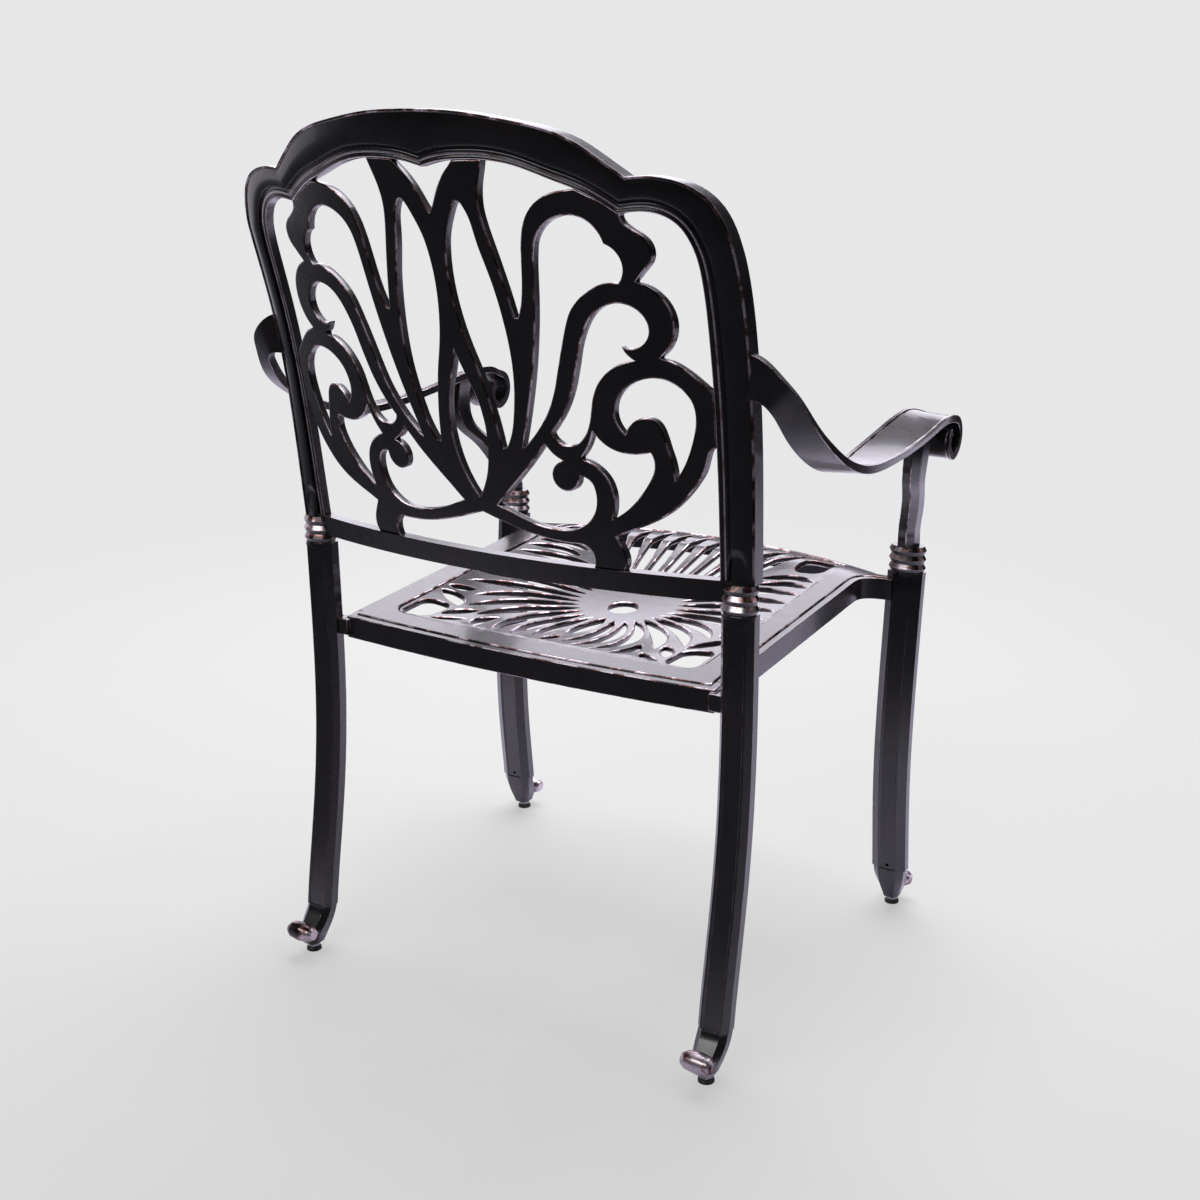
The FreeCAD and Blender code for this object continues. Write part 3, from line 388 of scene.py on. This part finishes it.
# ---------------------------------------------------------------- frame of the back
# Outer and inner edge in front view (x, z) in millimetres, in runs that meet in mitres: from the foot of the
# stile over the shoulder, then from there to the middle of the crown.
SHOULDER_OUTER = [(272.2, 506), (273.6, 579), (275.7, 740), (275.4, 790), (269.6, 834), (258, 857),
                  (242, 869.5), (222, 875.5), (206, 876.8), (192.7, 875.4)]
SHOULDER_INNER = [(239.2, 506), (240.6, 579), (242.7, 740), (242.7, 788), (238, 820), (226, 838.5),
                  (208, 846.3), (194, 846.6), (180, 844.6)]
CROWN_OUTER = [(192.7, 875.4), (171.5, 891.5), (150, 906), (94.6, 921.5), (50, 928), (0, 930)]
CROWN_INNER = [(180, 844.6), (152.3, 862), (125.4, 872.3), (94.6, 883), (63.8, 887.7), (40.8, 887.7),
               (17.7, 885.4), (0, 881)]
# which place on the outer run lies outside each point of the inner run
SHOULDER_MATCH = [0, 1, 2, 3, 4, 5.5, 7, 8, 9]
CROWN_MATCH = [0, 1.4, 2.35, 2.95, 3.65, 4.16, 4.64, 5]
STATION_STEP = 4.0           # millimetres between stations along the inner edge
FRAME_CRISP = 50.0           # as CRISP, for the frame

# Half its section, in millimetres. The beads: distance from the inner edge, distance from the middle surface,
# material. The bead material on the beads' crests is a painted highlight, pale lines along the inside.
INNER_SECTION = [(0.0, 4.6, COAT), (0.2, 5.2, BEAD), (0.6, 5.7, BEAD), (1.2, 5.95, BEAD), (1.9, 6.0, COAT),
                 (2.6, 5.8, COAT), (3.2, 5.2, COAT), (3.7, 4.9, COAT), (4.2, 5.2, COAT), (4.6, 5.65, BEAD),
                 (5.1, 5.9, BEAD), (5.8, 6.0, BEAD), (6.4, 6.0, BEAD), (7.0, 5.95, COAT), (8.0, 5.7, COAT),
                 (8.8, 5.1, COAT), (9.2, 4.5, COAT), (11.2, 4.5, COAT), (11.4, 5.2, COAT), (11.5, 7.4, COAT),
                 (11.9, 8.0, EDGE)]
# The band: height of its edges over the middle surface, of its crest over its edges, and points across.
BAND_EDGE = 8.2
BAND_CREST = 1.3
BAND_POINTS = 9
# The lip: distance in from the outer edge, distance from the middle surface, material. Its crest takes the
# edge material, rubbed bronze with painted highlights.
OUTER_SECTION = [(3.2, 8.1, COAT), (2.7, 8.2, COAT), (2.3, 8.8, EDGE), (1.8, 9.3, EDGE), (1.1, 9.5, EDGE),
                 (0.5, 9.3, EDGE), (0.1, 8.8, EDGE), (0.0, 8.2, COAT)]
# The scoop at the foot of each stile, in metres.
SCOOP_TOP = 0.540            # height of its top
SCOOP_HALF = 0.0105          # half its width
SCOOP_DEPTH = 0.0032
SCOOP_WALL = 0.0025          # width over which its sides rise
SCOOP_ARCH = 2.2             # fullness of its round top
SCOOP_ENTRY = 6.0            # steepness with which it sinks from there
SCOOP_FADE = 0.7             # and with which it rises again towards the foot


def smooth_run(points):
    """A natural cubic spline through the points, as a function of the point's number."""
    knots = [0.0]
    for start, end in zip(points, points[1:]):
        knots.append(knots[-1] + math.dist(start, end))
    bends = []
    for axis in (0, 1):
        values = [point[axis] for point in points]
        upper, right = [0.0], [0.0]
        for i in range(1, len(points) - 1):
            before, after = knots[i] - knots[i - 1], knots[i + 1] - knots[i]
            middle = 2 * (before + after) - before * upper[-1]
            turn = 6 * ((values[i + 1] - values[i]) / after - (values[i] - values[i - 1]) / before)
            right.append((turn - before * right[-1]) / middle)
            upper.append(after / middle)
        bend = [0.0]
        for share, value in zip(reversed(upper[1:]), reversed(right[1:])):
            bend.append(value - share * bend[-1])
        bends.append(list(reversed(bend + [0.0])))

    def at(number):
        i = min(int(number), len(points) - 2)
        step = knots[i + 1] - knots[i]
        b = number - i
        a = 1 - b
        place = []
        for axis in (0, 1):
            bend = bends[axis]
            curve = ((a ** 3 - a) * bend[i] + (b ** 3 - b) * bend[i + 1]) * step * step / 6
            place.append(a * points[i][axis] + b * points[i + 1][axis] + curve)
        return place
    return at


def frame_stations():
    """Pairs (outer, inner) of points on the frame's edges, from the left foot over the crown to the right."""
    half = []
    for outer, inner, match in ((SHOULDER_OUTER, SHOULDER_INNER, SHOULDER_MATCH),
                                (CROWN_OUTER, CROWN_INNER, CROWN_MATCH)):
        outer_at = smooth_run(outer)
        inner_at = smooth_run(inner)
        for i, (start, end) in enumerate(zip(inner, inner[1:])):
            count = max(1, round(math.dist(start, end) / STATION_STEP))
            for share in (k / count for k in range(count)):
                half.append((outer_at(match[i] + share * (match[i + 1] - match[i])), inner_at(i + share)))
    top = (CROWN_OUTER[-1], CROWN_INNER[-1])
    other = [((-outer[0], outer[1]), (-inner[0], inner[1])) for outer, inner in reversed(half)]
    return half + [top] + other


def frame_section(length):
    """Half section between the edges: distances from the inner edge and from the middle surface."""
    bead_side = [(along, level) for along, level, _ in INNER_SECTION]
    lip_side = [(length - inward, level) for inward, level, _ in OUTER_SECTION]
    start, end = bead_side[-1][0], lip_side[0][0]
    band = []
    for share in (k / (BAND_POINTS + 1) for k in range(1, BAND_POINTS + 1)):
        crest = BAND_CREST * (1 - (2 * share - 1) ** 2)
        band.append((start + share * (end - start), BAND_EDGE + crest))
    return bead_side + band + lip_side


def scoop(x, z, across):
    """How far the rear of a stile is hollowed at its foot."""
    rise = (SCOOP_TOP - z) / (SCOOP_TOP - REAR_COLLAR_TOP)
    if rise <= 0:
        return 0.0
    arch = SCOOP_HALF * math.sqrt(min(1.0, SCOOP_ARCH * rise))
    inside = min(1.0, max(0.0, (arch - abs(across)) / SCOOP_WALL))
    return SCOOP_DEPTH * inside * min(1.0, SCOOP_ENTRY * rise) * (1 - rise) ** SCOOP_FADE


def frame_ring(outer, inner):
    """Points round the section at a station: over its rear from the inner edge and back over its front."""
    length = math.dist(outer, inner)
    section = frame_section(length)
    ring = []
    for face in (1, -1):
        for along, level in section[::face]:
            x, z = (MM * (inner[k] + (outer[k] - inner[k]) * along / length) for k in (0, 1))
            depth = MM * level
            if face > 0:
                depth -= scoop(x, z, MM * (along - length / 2))
            ring.append((x, back_y(x, z) + face * depth, z))
    return ring


def crown_and_stiles():
    """The frame of the back: a double bead round its inside, a groove, a convex band and a rolled lip.

    The section at one foot is extruded from station to station, over the crown to the other foot. Each strip
    takes the plainer material of its two edges."""
    finish = [item[2] for item in INNER_SECTION] + [COAT] * BAND_POINTS + [item[2] for item in OUTER_SECTION]
    finish += finish[::-1]
    rings = [frame_ring(outer, inner) for outer, inner in frame_stations()]
    work = bmesh.new()
    end = work.faces.new([work.verts.new(point) for point in rings[0]])
    for ring in rings[1:]:
        end = bmesh.ops.extrude_discrete_faces(work, faces=[end])["faces"][0]
        for vert, point in zip(end.verts, ring):
            vert.co = point
        for k, loop in enumerate(end.loops):
            side = next(face for face in loop.edge.link_faces if face != end)
            side.material_index = min(finish[k], finish[(k + 1) % len(finish)])
    bmesh.ops.holes_fill(work, edges=[item for item in work.edges if item.is_boundary])
    bmesh.ops.recalc_face_normals(work, faces=work.faces)
    finish_casting(work, "back_frame_casting", "back_frame", FRAME_CRISP)


fretwork()
crown_and_stiles()
seat()


# ---------------------------------------------------------------- castings with rubbed arrises and painted highlights
ARRIS_WIDTH = 0.0011
ARRIS_ANGLE = 32.0           # degrees past which an edge is an arris
RING_BELOW_TOP = 0.032       # how far the turned rings reach below the top of a leg
RING_FACE = 0.001            # and the flat top of the leg above them
RING_ARRIS = 0.0013
RING_ANGLE = 25.0            # degrees past which an edge of a ring is a crest
RING_LEVEL = 0.0002          # and it is level to within this
# An upper flank is lightened with a painted highlight.
RING_HIGHLIT_FLANK = (0.25, 0.75)    # upward part of the normal on a ring's upper flank
TOE_TOP = 0.05               # the rolled toes lie below this height
TOE_THICK = 0.0225           # and are this thick from front to back


def round_and_highlight_rings(work, top):
    """Rounds the crests of a leg's rings and gives them and the upper flanks rubbed bronze with painted
    highlights.
    """
    crests = [item for item in work.edges
              if item.is_convex and item.calc_face_angle(0) > math.radians(RING_ANGLE)
              and all(top - RING_BELOW_TOP < vert.co.z < top - RING_FACE for vert in item.verts)
              and abs(item.verts[0].co.z - item.verts[1].co.z) < RING_LEVEL]
    # The rounded crests take the bead material, a painted highlight.
    bmesh.ops.bevel(work, geom=crests, offset=RING_ARRIS, offset_type="OFFSET", segments=3, profile=0.5,
                    affect="EDGES", clamp_overlap=True, material=BEAD)
    work.normal_update()
    for face in work.faces:
        on_ring = top - RING_BELOW_TOP < face.calc_center_median().z < top
        # Flanks facing upwards take the edge material as a painted highlight.
        if on_ring and RING_HIGHLIT_FLANK[0] < face.normal.z < RING_HIGHLIT_FLANK[1]:
            face.material_index = EDGE


def rub_and_highlight_toe(work, tip):
    """Gives the rolled toe, which ends at the y given, rubbed bronze with painted highlights."""
    for face in work.faces:
        centre = face.calc_center_median()
        if centre.z < TOE_TOP and abs(centre.y - tip) < TOE_THICK:
            face.material_index = EDGE


def softened(node):
    """A copy of a casting with its seams merged and its arrises rounded and rubbed, with painted highlights
    on them.
    """
    mesh = nodes[node].data.copy()
    piece = bpy.data.objects.new(node + "_casting", mesh)
    bpy.context.scene.collection.objects.link(piece)
    dress(piece, coat, edge, bead)
    work = bmesh.new()
    work.from_mesh(mesh)
    bmesh.ops.remove_doubles(work, verts=work.verts, dist=WELD)
    bmesh.ops.dissolve_degenerate(work, edges=work.edges, dist=WELD)
    if "leg" in node:
        low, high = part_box(node)
        round_and_highlight_rings(work, high.z)
        rub_and_highlight_toe(work, high.y if "rear" in node else low.y)
    work.to_mesh(mesh)
    work.free()
    bevel = piece.modifiers.new("arris", "BEVEL")
    bevel.width = ARRIS_WIDTH
    bevel.segments = 2
    bevel.limit_method = "ANGLE"
    bevel.angle_limit = math.radians(ARRIS_ANGLE)
    # The rounded arrises take the edge material, rubbed bronze with painted highlights.
    bevel.material = EDGE
    bevel.use_clamp_overlap = True
    in_place(piece, node, ARRIS_ANGLE)


for node in ("back_lower_rail", "seat_rear_rail", "seat_front_rail"):
    softened(node)
for node in ("rear_leg", "front_leg", "arm", "arm_post", "seat_side_rail"):
    for side in SIDES:
        softened(f"{node}_{side}")

for end, side in CORNERS:
    dress(nodes[f"{end}_foot_insert_{side}"], steel)
    dress(nodes[f"{end}_glide_stud_{side}"], steel)
    dress(nodes[f"{end}_glide_pad_{side}"], plastic)


# ---------------------------------------------------------------- studio
BACKDROP = (0.80, 0.80, 0.81)           # behind the chair, as the camera sees it
ROOM = (0.025, 0.025, 0.03)             # and as the gloss of the castings sees it
FLOOR_HALF = 12.0
FLOOR_LIT = (0.72, 0.745, 0.665)        # the floor's colour, which answers the tint of the lamps
FLOOR_GLOW = 0.55                       # share of even glow in it near the chair, against lit and shaded
FLOOR_FADE = (1.0, 2.3)                 # distances over which it turns into the backdrop
BOUNCE_NEAR = (0.80, 0.77, 0.87)        # the floor as the gloss sees it, in front of the chair
BOUNCE_FAR = (0.06, 0.06, 0.07)         # and round about
BOUNCE_CENTRE = (0.0, -1.2, 0.0)
BOUNCE_REACH = (1.4, 2.1)               # distances from there over which it darkens
LAVENDER = (0.93, 0.89, 1.0)
WHITE = (1.0, 1.0, 1.0)
# name, place, what it faces, width and height, watts, colour
SOFTBOXES = [
    ("overhead", (0.3, -0.9, 2.6), (0.3, -0.1, 0.3), (2.4, 1.6), 78, LAVENDER),
    ("far_panel", (1.6, -2.6, 1.55), (0, 0, 0.4), (4.2, 1.4), 50, LAVENDER),
    ("right_panel", (-2.3, -0.7, 1.9), (0, 0, 0.5), (2.0, 1.4), 10, LAVENDER),
    ("left_panel", (2.6, 0.1, 0.7), (0, 0, 0.5), (2.6, 1.3), 9, LAVENDER),
    ("near_panel", (0.5, 3.0, 2.7), (0, 0, 0.6), (3.6, 1.0), 42, WHITE),
]


def camera_only(tree, seen, other):
    """Mixes two shaders: the first is what the camera sees."""
    path = tree.nodes.new("ShaderNodeLightPath")
    mix = tree.nodes.new("ShaderNodeMixShader")
    tree.links.new(path.outputs["Is Camera Ray"], mix.inputs["Fac"])
    tree.links.new(other, mix.inputs[1])
    tree.links.new(seen, mix.inputs[2])
    return mix.outputs["Shader"]


def far_off(tree, place, centre, reach):
    """Distance of a place from a centre, as a node whose result goes from 0 to 1 over the reach."""
    distance = tree.nodes.new("ShaderNodeVectorMath")
    distance.operation = "DISTANCE"
    distance.inputs[1].default_value = centre
    tree.links.new(place, distance.inputs[0])
    node = tree.nodes.new("ShaderNodeMapRange")
    node.inputs["From Min"].default_value, node.inputs["From Max"].default_value = reach
    tree.links.new(distance.outputs["Value"], node.inputs["Value"])
    return node


def floor_seen(tree, place):
    """The floor for the camera: lit and shaded near the chair, fading into the backdrop further off."""
    glow = tree.nodes.new("ShaderNodeEmission")
    glow.inputs["Color"].default_value = (*BACKDROP, 1)
    lit = tree.nodes.new("ShaderNodeBsdfDiffuse")
    lit.inputs["Color"].default_value = (*FLOOR_LIT, 1)
    fade = far_off(tree, place, (0.0, 0.0, 0.0), FLOOR_FADE)
    fade.interpolation_type = "SMOOTHSTEP"
    fade.inputs["To Min"].default_value = FLOOR_GLOW
    blend = tree.nodes.new("ShaderNodeMixShader")
    tree.links.new(fade.outputs["Result"], blend.inputs["Fac"])
    tree.links.new(lit.outputs["BSDF"], blend.inputs[1])
    tree.links.new(glow.outputs["Emission"], blend.inputs[2])
    return blend.outputs["Shader"]


def floor():
    """A wide pale floor. For the gloss of the castings it is bright in front of the chair only."""
    work = bmesh.new()
    bmesh.ops.create_grid(work, x_segments=1, y_segments=1, size=FLOOR_HALF)
    mesh = bpy.data.meshes.new("floor")
    work.to_mesh(mesh)
    work.free()
    piece = bpy.data.objects.new("floor", mesh)
    bpy.context.scene.collection.objects.link(piece)
    material, tree, shader = new_material("pale_floor")
    shader.inputs["Roughness"].default_value = 0.9
    shader.inputs["Specular IOR Level"].default_value = 0.1
    place = tree.nodes.new("ShaderNodeTexCoord").outputs["Object"]
    away = far_off(tree, place, BOUNCE_CENTRE, BOUNCE_REACH)
    bounce = ramp(tree, away.outputs["Result"], [(0.0, BOUNCE_NEAR), (1.0, BOUNCE_FAR)])
    tree.links.new(bounce, shader.inputs["Base Color"])
    surface = camera_only(tree, floor_seen(tree, place), shader.outputs["BSDF"])
    tree.links.new(surface, tree.nodes["Material Output"].inputs["Surface"])
    dress(piece, material)


def backdrop():
    """The world: pale for the camera, a dim room for everything else."""
    world = bpy.data.worlds.new("studio")
    bpy.context.scene.world = world
    world.use_nodes = True
    tree = world.node_tree
    tree.nodes.clear()
    pale = tree.nodes.new("ShaderNodeBackground")
    pale.inputs["Color"].default_value = (*BACKDROP, 1)
    room = tree.nodes.new("ShaderNodeBackground")
    room.inputs["Color"].default_value = (*ROOM, 1)
    output = tree.nodes.new("ShaderNodeOutputWorld")
    surface = camera_only(tree, pale.outputs["Background"], room.outputs["Background"])
    tree.links.new(surface, output.inputs["Surface"])


def softbox(name, place, target, size, power, colour):
    """A soft rectangular lamp that faces its target and doesn't show itself to the camera."""
    lamp = bpy.data.lights.new(name, "AREA")
    lamp.shape = "RECTANGLE"
    lamp.size, lamp.size_y = size
    lamp.energy = power
    lamp.color = colour
    holder = bpy.data.objects.new(name, lamp)
    bpy.context.scene.collection.objects.link(holder)
    holder.location = place
    holder.rotation_euler = (Vector(target) - Vector(place)).to_track_quat("-Z", "Y").to_euler()
    holder.visible_camera = False


floor()
backdrop()
for settings in SOFTBOXES:
    softbox(*settings)


# ---------------------------------------------------------------- camera
CAMERA_PLACE = (-0.9022, 1.4709, 0.9352)
CAMERA_YAW = math.radians(-58.608)      # from +X, towards +Y
CAMERA_PITCH = math.radians(17.015)     # downwards
CAMERA_LENS = 48.83
CAMERA_SENSOR = 36.0

camera = bpy.data.objects.new("camera", bpy.data.cameras.new("camera"))
bpy.context.scene.collection.objects.link(camera)
level = math.cos(CAMERA_PITCH)
aim = Vector((level * math.cos(CAMERA_YAW), level * math.sin(CAMERA_YAW), -math.sin(CAMERA_PITCH)))
camera.location = CAMERA_PLACE
camera.rotation_euler = aim.to_track_quat("-Z", "Y").to_euler()
camera.data.lens = CAMERA_LENS
camera.data.sensor_width = CAMERA_SENSOR
bpy.context.scene.camera = camera
bpy.context.scene.view_settings.view_transform = "Standard"
